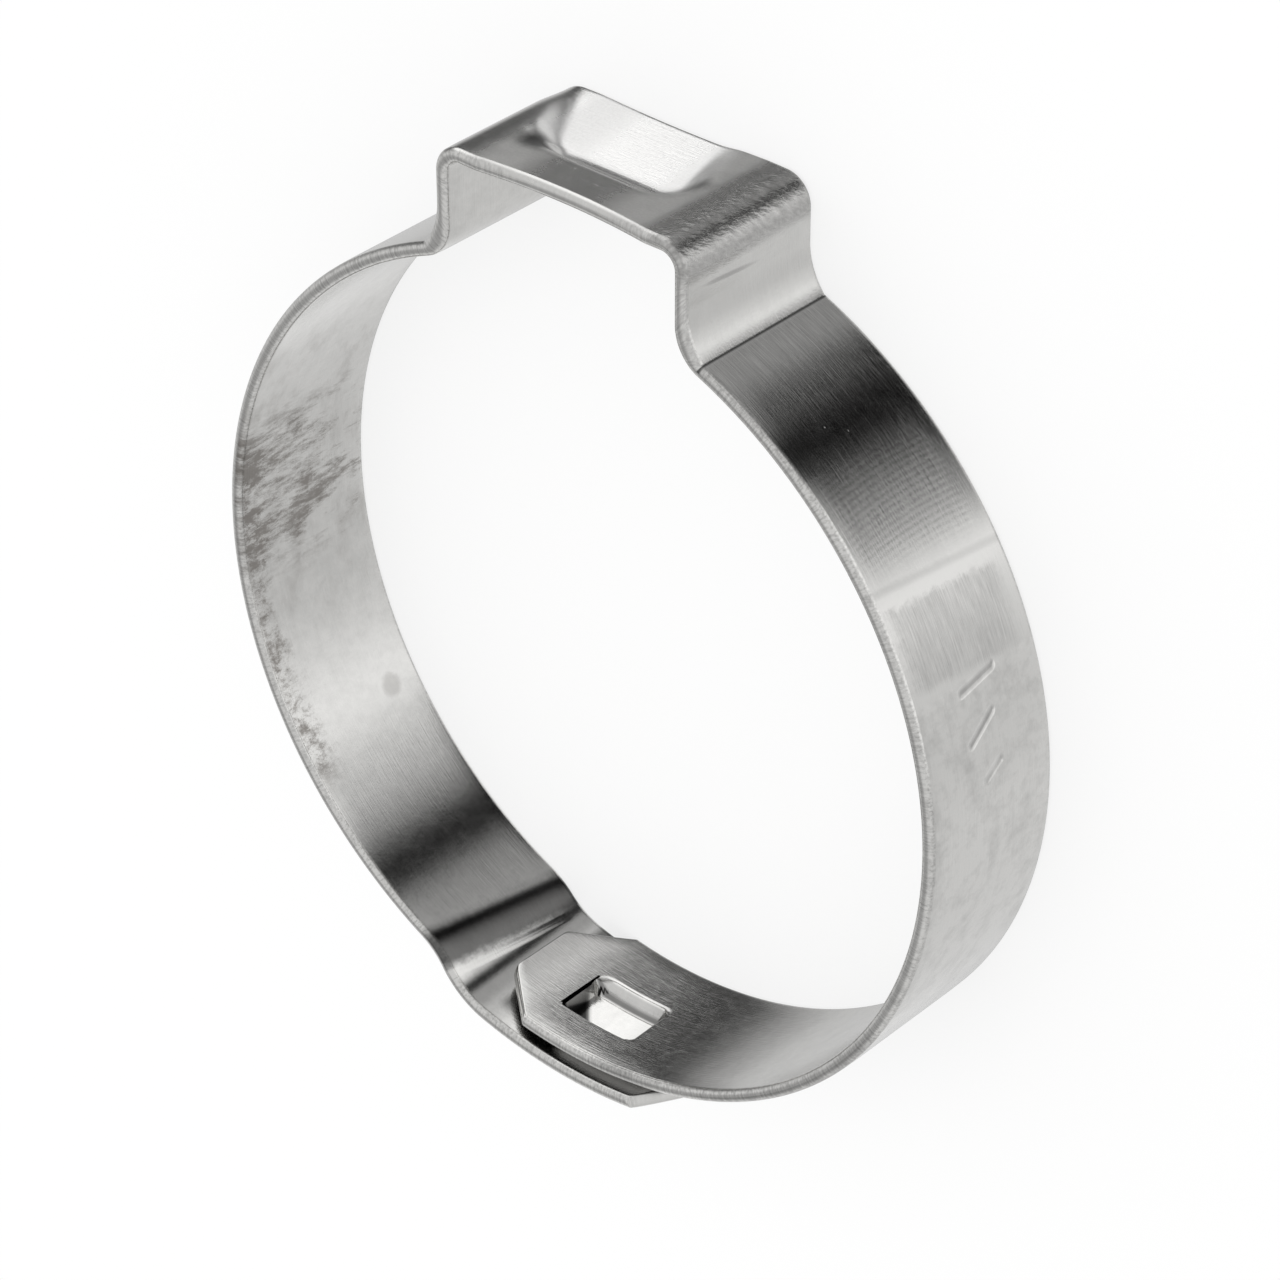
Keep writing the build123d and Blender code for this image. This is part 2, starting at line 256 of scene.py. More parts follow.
class Strip:
    """Sizes worked out from the properties, and the strip's shape over (along, across)."""

    def __init__(self, sizes):
        self.width = sizes.width / MM
        self.thick = sizes.thickness / MM
        self.bore = sizes.bore / MM / 2
        self.rim = self.bore + self.thick
        self.ear_half = sizes.ear_gap / MM / 2
        self.ear_in = self.rim + sizes.ear_rise / MM - self.thick
        self.dimple_depth = sizes.dimple_depth / MM
        self.edge = sizes.edge_round / MM
        self.flat_half = self.ear_half - EAR_BEND
        self.top_start = EAR_BEND * pi / 2
        self.shoulder_x = self.ear_half + SHOULDER_BEND
        self.shoulder_y = sqrt((self.bore + SHOULDER_BEND) ** 2 - self.shoulder_x**2)
        self.shoulder_angle = degrees(atan2(self.shoulder_y, self.shoulder_x))
        self.steps = (self.thick + LAP_GAP_BOTTOM, self.thick + LAP_GAP_TOP)
        self.joggle_end = TONGUE_ANGLE + turn(JOGGLE_PAST_TIP, self.rim)
        self.split = self.joggle_end - self.joggle_turn(max(self.steps)) - turn(JOGGLE_LEAD, self.rim)
        self.hook_start = TONGUE_ANGLE + turn(HOOK_SETBACK, self.bore)
        self.hook_front = self.hook_start + turn(HOOK_MOUTH, self.bore)
        self.hook_middle = self.hook_start + turn(HOOK_LENGTH / 2, self.bore)
        self.hook_back = self.hook_start + turn(HOOK_LENGTH + HOOK_WALL, self.bore)
        self.window_start = self.hook_start + turn(WINDOW_LEAD, self.rim)
        self.window_end = self.hook_back + turn(WINDOW_CLEARANCE, self.rim)
        self.outer_angle = self.window_end + turn(OUTER_MARGIN, self.rim)
        self.window_half = HOOK_WIDTH / 2 + HOOK_WALL + WINDOW_CLEARANCE

    def joggle_turn(self, step):
        """Angle of a joggle: two tangent bends between the ring and a circle one step larger."""
        first = self.bore + JOGGLE_FIRST_BEND
        second = self.bore + step - JOGGLE_SECOND_BEND
        apart = JOGGLE_FIRST_BEND + JOGGLE_SECOND_BEND
        return degrees(acos((first**2 + second**2 - apart**2) / (2 * first * second)))

    def ring_runs(self):
        """Runs of the tongue, the ring's right half, the ear and the ring's left half, along the bore side."""
        hook = (self.hook_start, self.hook_front, self.hook_front + turn(LANCE, self.bore))
        marks = (TONGUE_ANGLE, TONGUE_ANGLE + TIP_STEP_ANGLE, TONGUE_ANGLE + turn(TONGUE_TAPER, self.bore), *hook,
                 self.hook_middle, *(self.hook_back + away for away in BACK_BAND), 360 + self.shoulder_angle)
        right = spaced(marks, RIGHT_STEPS)[:-1]
        left = spaced((180 - self.shoulder_angle, self.split), LEFT_STEPS)[:-1]
        bend_y = self.ear_in - EAR_BEND
        corner = evenly(0, 90, BEND_COLUMNS)
        top = line_run((self.flat_half, self.ear_in), (-self.flat_half, self.ear_in), TOP_COLUMNS)
        shoulder, leg = self.shoulder_runs(bend_y)
        return [
            self.both_sides(arc_run((0, 0), self.bore, right, 1)),
            shoulder,
            leg,
            self.both_sides(arc_run((self.flat_half, bend_y), EAR_BEND, corner, 1)),
            self.both_sides((top, np.broadcast_to((0.0, 1.0), top.shape))),
            self.both_sides(arc_run((-self.flat_half, bend_y), EAR_BEND, corner + 90, 1)),
            self.mirrored(leg, bend_y, bend_y),
            self.mirrored(shoulder, self.shoulder_y, self.slope_y),
            self.both_sides(arc_run((0, 0), self.bore, left, 1)),
        ]

    def both_sides(self, run):
        """Bore side, rim side and outward direction: the rim side is the bore side moved outward by the thickness."""
        return run[0], run[0] + self.thick * run[1], run[1]

    def shoulder_runs(self, bend_y):
        """Shoulder and leg on the ear's right.

        The bore side is one arc and a line. On the rim side a tight crease meets the ring, then a slow arc comes
        into line with the leg: its cosine at their joint follows from how far the leg stands from the crease."""
        foot_angle = 180 + self.shoulder_angle
        whole = evenly(foot_angle, 180, CREASE_COLUMNS + SLOPE_COLUMNS)
        bore, outward = arc_run((self.shoulder_x, self.shoulder_y), SHOULDER_BEND, whole, -1)
        leg_x = self.ear_half + self.thick
        foot = polar(self.rim, self.shoulder_angle)
        between_bends = SHOULDER_SLOPE_BEND - SHOULDER_CREASE
        crease_centre = foot + polar(SHOULDER_CREASE, self.shoulder_angle)
        joint = degrees(acos((SHOULDER_SLOPE_BEND + leg_x - crease_centre[0]) / between_bends))
        slope_centre = crease_centre + polar(between_bends, joint)
        crease = arc_run(crease_centre, SHOULDER_CREASE, evenly(foot_angle, 180 + joint, CREASE_COLUMNS), -1)
        slope = arc_run(slope_centre, SHOULDER_SLOPE_BEND, evenly(180 + joint, 180, SLOPE_COLUMNS), -1)
        self.slope_y = slope_centre[1]
        rim = np.concatenate([crease[0], slope[0]])
        bore_leg = line_run((self.ear_half, self.shoulder_y), (self.ear_half, bend_y), LEG_COLUMNS)
        rim_leg = line_run((leg_x, self.slope_y), (leg_x, bend_y), LEG_COLUMNS)
        return (bore, rim, outward), (bore_leg, rim_leg, np.broadcast_to((1.0, 0.0), bore_leg.shape))

    def mirrored(self, run, bore_y, rim_y):
        """The same run on the ear's left, the other way along the strip, from the heights at which it starts."""
        bore, rim, outward = (np.roll(part[::-1], 1, axis=0) * (-1.0, 1.0) for part in run)
        bore[0] = (-self.ear_half, bore_y)
        rim[0] = (-self.ear_half - self.thick, rim_y)
        outward[0] = (-1, 0)
        return bore, rim, outward

    def outer_runs(self, step):
        """Runs of the joggle and the outer end for one step outward."""
        start = self.joggle_end - self.joggle_turn(step)
        first = polar(self.bore + JOGGLE_FIRST_BEND, start)
        second = polar(self.bore + step - JOGGLE_SECOND_BEND, self.joggle_end)
        lean = degrees(atan2(second[1] - first[1], second[0] - first[0]))
        swing = (lean - start - 180) % 360 - 360
        end = self.outer_angle
        taper = end - turn(OUTER_TAPER, self.rim)
        marks = (self.joggle_end, self.window_start, self.window_end, taper, end - TIP_STEP_ANGLE, end)
        outward = start + 180 + evenly(0, swing, JOGGLE_COLUMNS[0])
        runs = [
            arc_run((0, 0), self.bore, evenly(self.split, start, LEAD_COLUMNS), 1),
            arc_run(first, JOGGLE_FIRST_BEND, outward, -1),
            arc_run(second, JOGGLE_SECOND_BEND, evenly(start + swing, self.joggle_end, JOGGLE_COLUMNS[1]), 1),
            arc_run((0, 0), self.bore + step, spaced(marks, OUTER_STEPS), 1),
        ]
        return [self.both_sides(run) for run in runs]

    def sides(self):
        """Bore side, rim side and outward direction at the bottom and top edges, and the length along the strip: the
        sum of the distances between the bore side's points, halfway between the two edges."""
        edges = []
        for step in self.steps:
            runs = self.ring_runs() + self.outer_runs(step)
            edges.append([np.concatenate([run[part] for run in runs]) for part in range(3)])
        bore, rim, outward = (np.array([edge[part] for edge in edges]) for part in range(3))
        gaps = np.linalg.norm(np.diff(bore.mean(0), axis=0), axis=1)
        return bore, rim, outward, np.concatenate([[0], np.cumsum(gaps)])

    def along_at(self, angle):
        """Length along the strip at an angle that grows from the tongue's tip on, through 360 and past 540."""
        bore, _, _, along = self.sides()
        middle = bore.mean(0)
        turned = np.degrees(np.unwrap(np.arctan2(middle[:, 1], middle[:, 0])))
        return float(np.interp(angle, turned - turned[0] + TONGUE_ANGLE, along))

    def section(self):
        """One side of the strip's section, from the middle of one long edge to the middle of the other: its height,
        and its depth, which is 0 on the flat and rises to half the thickness round both edges, on quarter ellipses."""
        window = self.window_half
        quarter = np.linspace(0, pi / 2, EDGE_ROWS)
        around_hook = [HOOK_HEIGHT + away for away in (-window, -HOOK_WIDTH / 2, -HOOK_BAND,
                                                       HOOK_BAND, HOOK_WIDTH / 2, window)]
        marks = (self.edge, self.edge + EDGE_BAND, *around_hook,
                 self.width - self.edge - EDGE_BAND, self.width - self.edge)
        flat = spaced(marks, ROW_STEPS)
        low = self.edge * (1 - np.cos(quarter))
        rise = self.thick / 2 * (1 - np.sin(quarter))
        height = np.concatenate([low, flat[1:-1], self.width - low[::-1]])
        depth = np.concatenate([rise, 0 * flat[1:-1], rise[::-1]])
        return height, depth

    def limits(self, along, top_x):
        """Lowest and highest reach of the strip across its width.

        Both ends have straight cut corners with a rounded tip, and a parabola draws in the edges of the ear's top."""
        low = np.zeros_like(along)
        ends = ((along, TONGUE_FLAT, TONGUE_TAPER), (along[-1] - along, OUTER_FLAT, OUTER_TAPER))
        for from_end, flat, taper in ends:
            straight = (self.width - flat) / 2 * np.clip(1 - from_end / taper, 0, 1)
            tip = np.clip(1 - from_end / TIP_ROUND, 0, 1)
            low = low + straight + TIP_ROUND * (1 - np.sqrt(1 - tip**2))
        bow = np.clip(1 - (top_x / BOW_HALF) ** 2, 0, 1)
        return low + FAR_BOW * bow, self.width - low - NEAR_BOW * bow

    def dimple(self, top_x, height):
        """Depth of the dimple: a floor that slants evenly down from the bottom edge, inside walls that are S-curves.

        The ends are slanted. The distances that lack to a corner circle's centre are joined as the legs of a right
        angle, so the outline's corners are arcs. Each punch mark adds a bell curve of its place, spread and depth."""
        left = top_x - DIMPLE_LEFT - DIMPLE_LEFT_SLANT * height
        right = DIMPLE_RIGHT + DIMPLE_RIGHT_SLANT * height - top_x
        past_end = np.maximum(DIMPLE_CORNER - np.minimum(left, right), 0)
        past_near = np.maximum(DIMPLE_CORNER - (DIMPLE_NEAR - height), 0)
        inset = DIMPLE_CORNER - np.hypot(past_end, past_near)
        far = np.clip((height - DIMPLE_FAR) / DIMPLE_FAR_SLOPE, 0, 1)
        walls = ease(inset / DIMPLE_SLOPE)
        marks = sum(depth * np.exp(-((top_x - x) / wide) ** 2 - ((height - z) / tall) ** 2)
                    for x, z, wide, tall, depth in PUNCH_MARKS)
        return self.dimple_depth * walls * far + marks

    def past_tip(self, angle):
        """Length along the tongue's bore side from its tip to an angle."""
        return radians(angle - TONGUE_ANGLE) * self.bore

    def hook(self, along, height):
        """How far the inner and the outer surface are pressed outward at the hook.

        Each is a product of S-curves: slow up the side at the bottom edge, and up the other side and the closed back,
        joined as the legs of a right angle. The front is lanced, so there the surface jumps, but for a ramp near the
        slow side. Places are taken from the hook's middle, forward towards the tongue's tip."""
        forward = self.past_tip(self.hook_middle) - along
        front = radians(self.hook_middle - self.hook_front) * self.bore - LANCE / 2
        across = height - HOOK_HEIGHT
        half_length, half_width = HOOK_LENGTH / 2, HOOK_WIDTH / 2
        back = np.clip((half_length + forward) / HOOK_BACK_SLOPE, 0, 1)
        steep = np.clip((half_width + HOOK_STEEP_START - across) / HOOK_STEEP_SIDE, 0, 1)
        slow = ease((half_width + HOOK_SLOW_START + across) / HOOK_SLOW_SIDE)
        ramp_length = HOOK_RAMP_LEAST + HOOK_RAMP * ease((HOOK_RAMP_HEIGHT - across) / HOOK_RAMP_FADE)
        ramp = ease((front - forward) / ramp_length)
        inner = slow * ramp * ease(1 - np.hypot(1 - back, 1 - steep))
        outer_back = ease((half_length + HOOK_WALL + forward) / HOOK_BACK_SLOPE)
        outer = outer_back * ease((half_width + HOOK_WALL - np.abs(across)) / HOOK_SIDE)
        floor = HOOK_DEPTH + HOOK_TILT * across
        return floor * inner * (forward < front), HOOK_RISE * outer * (forward < front)

    def surface(self):
        """Vertices, strip coordinates and depth share over columns along the strip and rows round its section."""
        bore, rim, outward, along = self.sides()
        height, depth = self.section()
        height = np.concatenate([height, height[-2:0:-1]])
        depth = np.concatenate([depth, self.thick - depth[-2:0:-1]])
        middle = bore.mean(0)
        on_top = middle[:, 1] > self.ear_in - EAR_BEND
        beside_top = self.ear_half + CROWN_FADE
        top_x = np.where(on_top, middle[:, 0], beside_top)
        low, high = self.limits(along, top_x)
        flat = self.width - 2 * self.edge
        share = np.clip((height - self.edge) / flat, 0, 1)
        below = np.minimum(height, self.edge)
        above = np.maximum(height - self.width + self.edge, 0)
        room = (high - low - 2 * self.edge)[:, None]
        z = low[:, None] + below + share * room + above
        from_end = np.minimum(along, along[-1] - along)
        tip = np.clip(1 - from_end / CUT_FACE_ROUND, 0, 1)
        pinch = 1 - (2 * CUT_FACE_ROUND / self.thick) * (1 - np.sqrt(1 - tip**2))
        from_edge = np.minimum(height, self.width - height)
        crowned = np.clip((np.abs(top_x) - self.flat_half) / CROWN_FADE + 1, 0, 1)[:, None]
        crown = 1 - 2 * CROWN_DROP / self.thick * crowned * np.clip(1 - from_edge / CROWN_REACH, 0, 1) ** 2
        outer_share = 0.5 + (depth / self.thick - 0.5) * pinch[:, None] * crown
        inner, outer = self.hook(along[:, None], z)
        side = depth / self.thick
        press = inner * (1 - side) + outer * side - self.dimple(top_x[:, None], z)
        rule = (z / self.width)[..., None]

        def ruled(line):
            return (1 - rule) * line[0][:, None] + rule * line[1][:, None]

        over = outer_share[..., None]
        spot = (1 - over) * ruled(bore) + over * ruled(rim) + press[..., None] * ruled(outward)
        return np.concatenate([spot, z[..., None]], -1), along, z, np.broadcast_to(side, z.shape)

    def recess(self, along, height, side):
        """Share of painted shade: in the corner of the hook's mouth, down its slow side's foot, on the tongue's
        cut end, and between the two layers except on the hook, by S-curves of the distance from each."""
        front = self.past_tip(self.hook_front)
        back = front + HOOK_LENGTH
        corner = height - HOOK_HEIGHT + MOUTH_CORNER - MOUTH_SLANT * (along - front)
        pocket = ease((along - front) / 0.02) * ease((back - along) / 0.3)
        pocket = pocket * ease((MOUTH_TOP - height) / 0.1) * (1 - side)
        foot = FOOT_SHARE * ease(1 - np.abs(height - HOOK_HEIGHT + FOOT_BELOW) / FOOT_HALF)
        mouth = pocket * np.maximum(ease(corner / MOUTH_SOFT), foot)
        end = CUT_END_SHARE * ease((CUT_END_REACH - along) / CUT_END_REACH) + 0 * height
        lap = self.past_tip(self.outer_angle)
        bulge = self.hook(along, height)[1] / HOOK_RISE
        under = UNDER_SHARE * (1 - bulge) * ease((lap - along) / 0.4)
        under = under * ease((side - 0.6) / 0.3) * ease((along - 0.02) / 0.3)
        over = OVER_SHARE - OVER_LIT * ease((height - OVER_LIT_HEIGHT) / OVER_LIT_FADE)
        over = over * ease((along - along.max() + lap * OVER_REACH) / 0.6) * ease((0.35 - side) / 0.3)
        return np.maximum.reduce([mouth, end, under, over])

    def openings(self, along, height):
        """Cells of one side that the hook's mouth and the window for the hook leave open."""
        centre = (along[1:] + along[:-1])[:, None] / 2
        across = np.abs((height[1:] + height[:-1])[None] / 2 - HOOK_HEIGHT)
        mouth_start = self.past_tip(self.hook_start)
        mouth = (centre > mouth_start) & (centre < mouth_start + HOOK_MOUTH + LANCE) & (across < HOOK_WIDTH / 2)
        from_end = (along[-1] - centre) / (self.bore + sum(self.steps) / 2)
        first = radians(self.outer_angle - self.window_start)
        last = radians(self.outer_angle - self.window_end)
        return mouth | ((from_end < first) & (from_end > last) & (across < self.window_half))


def strip_faces(columns, rows, openings):
    """Quads round the section from column to column, both end caps, and a wall round every opening.

    The section is a loop, so a row on one side has its partner on the other side at the loop's mirrored place. The
    first and the last row are their own partners, so each cap ends in a triangle at both long edges."""
    loop = 2 * rows - 2
    column = np.arange(columns)[:, None] * loop
    inner = column + np.arange(rows)
    outer = column + (loop - np.arange(rows)) % loop
    keep = ~openings

    def quads(a, b, c, d, which):
        return np.stack([a[which], b[which], c[which], d[which]], -1)

    faces = [
        quads(inner[:-1, :-1], inner[:-1, 1:], inner[1:, 1:], inner[1:, :-1], keep),
        quads(outer[:-1, :-1], outer[1:, :-1], outer[1:, 1:], outer[:-1, 1:], keep),
    ]
    between_corners = np.zeros(rows - 1, bool)
    between_corners[1:-1] = True
    corners = []
    for near, far in ((inner[0], outer[0]), (inner[-1], outer[-1])):
        faces.append(quads(near[:-1], far[:-1], far[1:], near[1:], between_corners))
        corners += [[near[0], far[1], near[1]], [near[-2], far[-2], near[-1]]]
    edge = openings[1:] != openings[:-1]
    wall = quads(inner[1:-1, :-1], inner[1:-1, 1:], outer[1:-1, 1:], outer[1:-1, :-1], edge)
    faces.append(np.where(openings[1:][edge][:, None], wall, wall[:, ::-1]))
    edge = openings[:, 1:] != openings[:, :-1]
    wall = quads(inner[:-1, 1:-1], outer[:-1, 1:-1], outer[1:, 1:-1], inner[1:, 1:-1], edge)
    faces.append(np.where(openings[:, 1:][edge][:, None], wall, wall[:, ::-1]))
    return np.concatenate(faces).tolist() + np.array(corners).tolist()


def add_strip(sizes):
    """The strip's mesh object, with its UV map in millimetres along and across, its side, and its share of painted
    shade.
    """
    strip = Strip(sizes)
    vertices, along, z, side = strip.surface()
    columns, loop = z.shape
    faces = strip_faces(columns, loop // 2 + 1, strip.openings(along, strip.section()[0]))
    mesh = bpy.data.meshes.new("clamp_strip")
    mesh.from_pydata((vertices.reshape(-1, 3) * MM).tolist(), [], faces)
    coordinates = np.stack([np.broadcast_to(along[:, None], z.shape), z], -1).reshape(-1, 2)
    corners = np.empty(len(mesh.loops), dtype=np.int32)
    mesh.loops.foreach_get("vertex_index", corners)
    mesh.uv_layers.new(name="strip").uv.foreach_set("vector", coordinates[corners].astype(np.float32).ravel())
    for name, values in (("side", side), ("recess", strip.recess(along[:, None], z, side))):
        attribute = mesh.attributes.new(name, "FLOAT", "POINT")
        attribute.data.foreach_set("value", values.astype(np.float32).ravel())
    work = bmesh.new()
    work.from_mesh(mesh)
    loose = [vertex for vertex in work.verts if not vertex.link_faces]
    bmesh.ops.delete(work, geom=loose, context="VERTS")
    bmesh.ops.recalc_face_normals(work, faces=work.faces)
    work.to_mesh(mesh)
    work.free()
    mesh.shade_smooth()
    mesh.set_sharp_from_angle(angle=radians(SHARP_ANGLE))
    return add_object("clamp_strip", mesh)


# ---------------------------------------------------------------- steel

# Angles of the marks run from -105 at the tongue's tip through 0 at +X and 90 at the ear to 290 at the outer end.
# On the right half's outer side:
GROUND_ZONE = (50, 67.3)
# Painted shade along the crease at the ear's foot.
FOOT_CREASE = 67.7
FOOT_CREASE_REACH = (-0.06, 0.16)
RUBBED_ZONE = (35.8, 48)
RUBBED_ACROSS = (0.85, 6.5)
WAVE_RADIANS_PER_MM = 26.0
# Painted shade: a dark line across the outer side at a bend.
BENT_LINE = (32.5, 33.4)
DULL_PATCH = (20.4, 30.6)
PLAIN_ZONE = (-75, 20.6)
LOW_ZONE = (-70, -30)
MARK_SLANT = 0.09
# Each stamped mark, a dent darkened with painted shade: from an angle and a height to an angle and a height, and
# its share of the full depth.
STAMP_MARKS = ((20.3, 2.6, 19.4, 4.4, 1), (15.3, 3.1, 12.8, 4.4, 1), (8.8, 3.0, 7.3, 3.8, 0.5))
# On the inner side:
TONGUE_SPECKS = (-88, -75)
# Painted shade on the tongue.
TONGUE_SHADE = (-85, -76)
BLURRED_ZONE = (150, 200)
SMUDGED_ZONE = (165, 189)
FLECKED_ZONE = (170, 219)
ROUND_SPOT = (212.6, 1.6)
ROUND_SPOT_START = (205, 208)
JOGGLE_SHADE = (247.0, 251.5)
JOGGLE_RIDGE = 252.3
JOGGLE_RIDGE_REACH = (-0.16, 0.1)
# On the ear: where its right leg starts, and each patch of painted shade round a dent by its length along the strip
# from the top's middle, its height, full and outer radius, and share; a negative share makes a painted highlight.
LEG_START = 72.9
DENT_SHADINGS = ((3.3, 4.35, 0.25, 1.05, 1), (2.95, 3.9, 0.1, 0.4, -1), (-3.25, 3.1, 0.1, 0.85, 0.75))
# Colour of the painted highlight on the dimple's floor.
DIMPLE_HIGHLIGHT_STEEL = (0.86, 0.855, 0.845, 1)

# Each noise: its stretch along and across the strip, its slice, scale, detail and roughness.
NOISES = {
    "grain": (0.3, 9.0, 0.0, 1.6, 4.0, 0.62),
    "fine": (1.2, 22.0, 0.0, 1.0, 2.0, 0.6),
    "speck": (1.0, 1.0, 0.0, 9.0, 2.0, 0.6),
    "cloud": (0.5, 0.8, 0.0, 1.0, 4.0, 0.65),
    "mottle": (0.9, 0.7, 3.0, 2.2, 5.0, 0.7),
    "patches": (0.55, 0.22, 1.0, 1.0, 2.0, 0.5),
    "streak": (1.5, 0.42, 0.0, 1.3, 7.0, 0.8),
    "flecks": (1.3, 0.8, 5.0, 1.7, 7.0, 0.8),
    "pinholes": (0.8, 1.2, 2.0, 5.0, 2.0, 0.5),
}
PEBBLE_SLANT = 0.3
PEBBLE_NOISE = (9.0, 3.0, 0.55)

# How much each mark darkens the steel, before and after its pebbles and clouds, and heights in the bump. The
# shares of joggle, crease, dents, stamps, tongue and recesses are painted shade; the scuff is wear.
EARLY_SHADES = {"joggle": 0.78, "crease": 0.8}
LATE_SHADES = {"dent_shading": 0.85, "scuff": 0.3, "stamp": 0.32, "low_side": 0.28, "tongue_shade": 0.35, "recess": 0.95}
BUMP_DISTANCE = 0.00004
STAMP_RELIEF = 19.0
PEBBLE_RELIEF = 4.0


def operator(operation, reflected=False):
    """Method of Value that adds a Math node, with the two numbers the other way round in the reflected form."""
    def method(self, other):
        return self.nodes.math(operation, *((other, self) if reflected else (self, other)))
    return method


class Value:
    """A number socket on which Python's operators add Math nodes."""

    def __init__(self, nodes, socket):
        self.nodes = nodes
        self.socket = socket

    def math(self, operation, *others):
        return self.nodes.math(operation, self, *others)

    def clamp(self):
        return self.nodes.make("Clamp", {}, self, 0, 1)

    __add__, __radd__ = operator("ADD"), operator("ADD", True)
    __sub__, __rsub__ = operator("SUBTRACT"), operator("SUBTRACT", True)
    __mul__, __rmul__ = operator("MULTIPLY"), operator("MULTIPLY", True)
    __truediv__, __pow__ = operator("DIVIDE"), operator("POWER")


class Nodes:
    """Adds nodes to one node tree."""

    def __init__(self, tree):
        self.tree = tree
        tree.nodes.clear()

    def make(self, kind, settings=None, *inputs, output=0, **named):
        """A shader node of a kind: its settings first, then the values or links of its sockets, by order or by name.

        A socket that is given None keeps its own value."""
        node = self.tree.nodes.new("ShaderNode" + kind)
        for name, value in (settings or {}).items():
            if name == "stops":
                self.set_stops(node.color_ramp, value)
            else:
                setattr(node, name, value)
        for key, value in (*enumerate(inputs), *named.items()):
            socket = node.inputs[key if isinstance(key, int) else key.replace("_", " ")]
            if isinstance(value, Value):
                self.tree.links.new(value.socket, socket)
            elif value is not None:
                socket.default_value = value
        return Value(self, node.outputs[output]) if len(node.outputs) else node

    @staticmethod
    def set_stops(ramp, stops):
        """Stops of a ramp: place and grey level."""
        while len(ramp.elements) < len(stops):
            ramp.elements.new(1)
        for element, (place, level) in zip(ramp.elements, stops):
            element.position = place
            element.color = (level, level, level, 1)

    def math(self, operation, *inputs):
        return self.make("Math", {"operation": operation}, *inputs)

    def split(self, vector):
        """The three numbers of a vector."""
        return [self.make("SeparateXYZ", {}, vector, output=axis) for axis in range(3)]

    def step(self, value, low, high):
        """Smooth step from 0 at low to 1 at high."""
        return self.make("MapRange", {"interpolation_type": "SMOOTHSTEP"}, value, low, high, 0.0, 1.0)

    def border(self, value, place, soft):
        """Smooth step from 0 to 1 over a soft border round a place."""
        return self.step(value, place - soft, place + soft)

    def between(self, value, low, high, soft):
        """1 between low and high, falling to 0 over a soft border."""
        return self.border(value, low, soft) * (1 - self.border(value, high, soft))

    def dash(self, x, y, x0, y0, x1, y1):
        """Soft dash between two points: 1 on the line and 0 past its half width, by the distance to the segment."""
        dx, dy = x1 - x0, y1 - y0
        square = dx * dx + dy * dy
        share = ((x - x0) * (dx / square) + (y - y0) * (dy / square)).clamp()
        away = ((x - x0 - share * dx) ** 2 + (y - y0 - share * dy) ** 2) ** 0.5
        return 1 - self.step(away, 0.05, 0.24)

    def vector(self, x, y, z):
        return self.make("CombineXYZ", {}, x, y, z)

    def noise(self, place, scale, detail, roughness):
        return self.make("TexNoise", {}, Vector=place, Scale=scale, Detail=detail, Roughness=roughness)

    def blend(self, factor, first, second):
        """Colour between two colours. In the Mix node these are sockets 0, 6 and 7, and the result is output 2."""
        between = (None,) * 5
        return self.make("Mix", {"data_type": "RGBA"}, factor, *between, first, second, output=2)


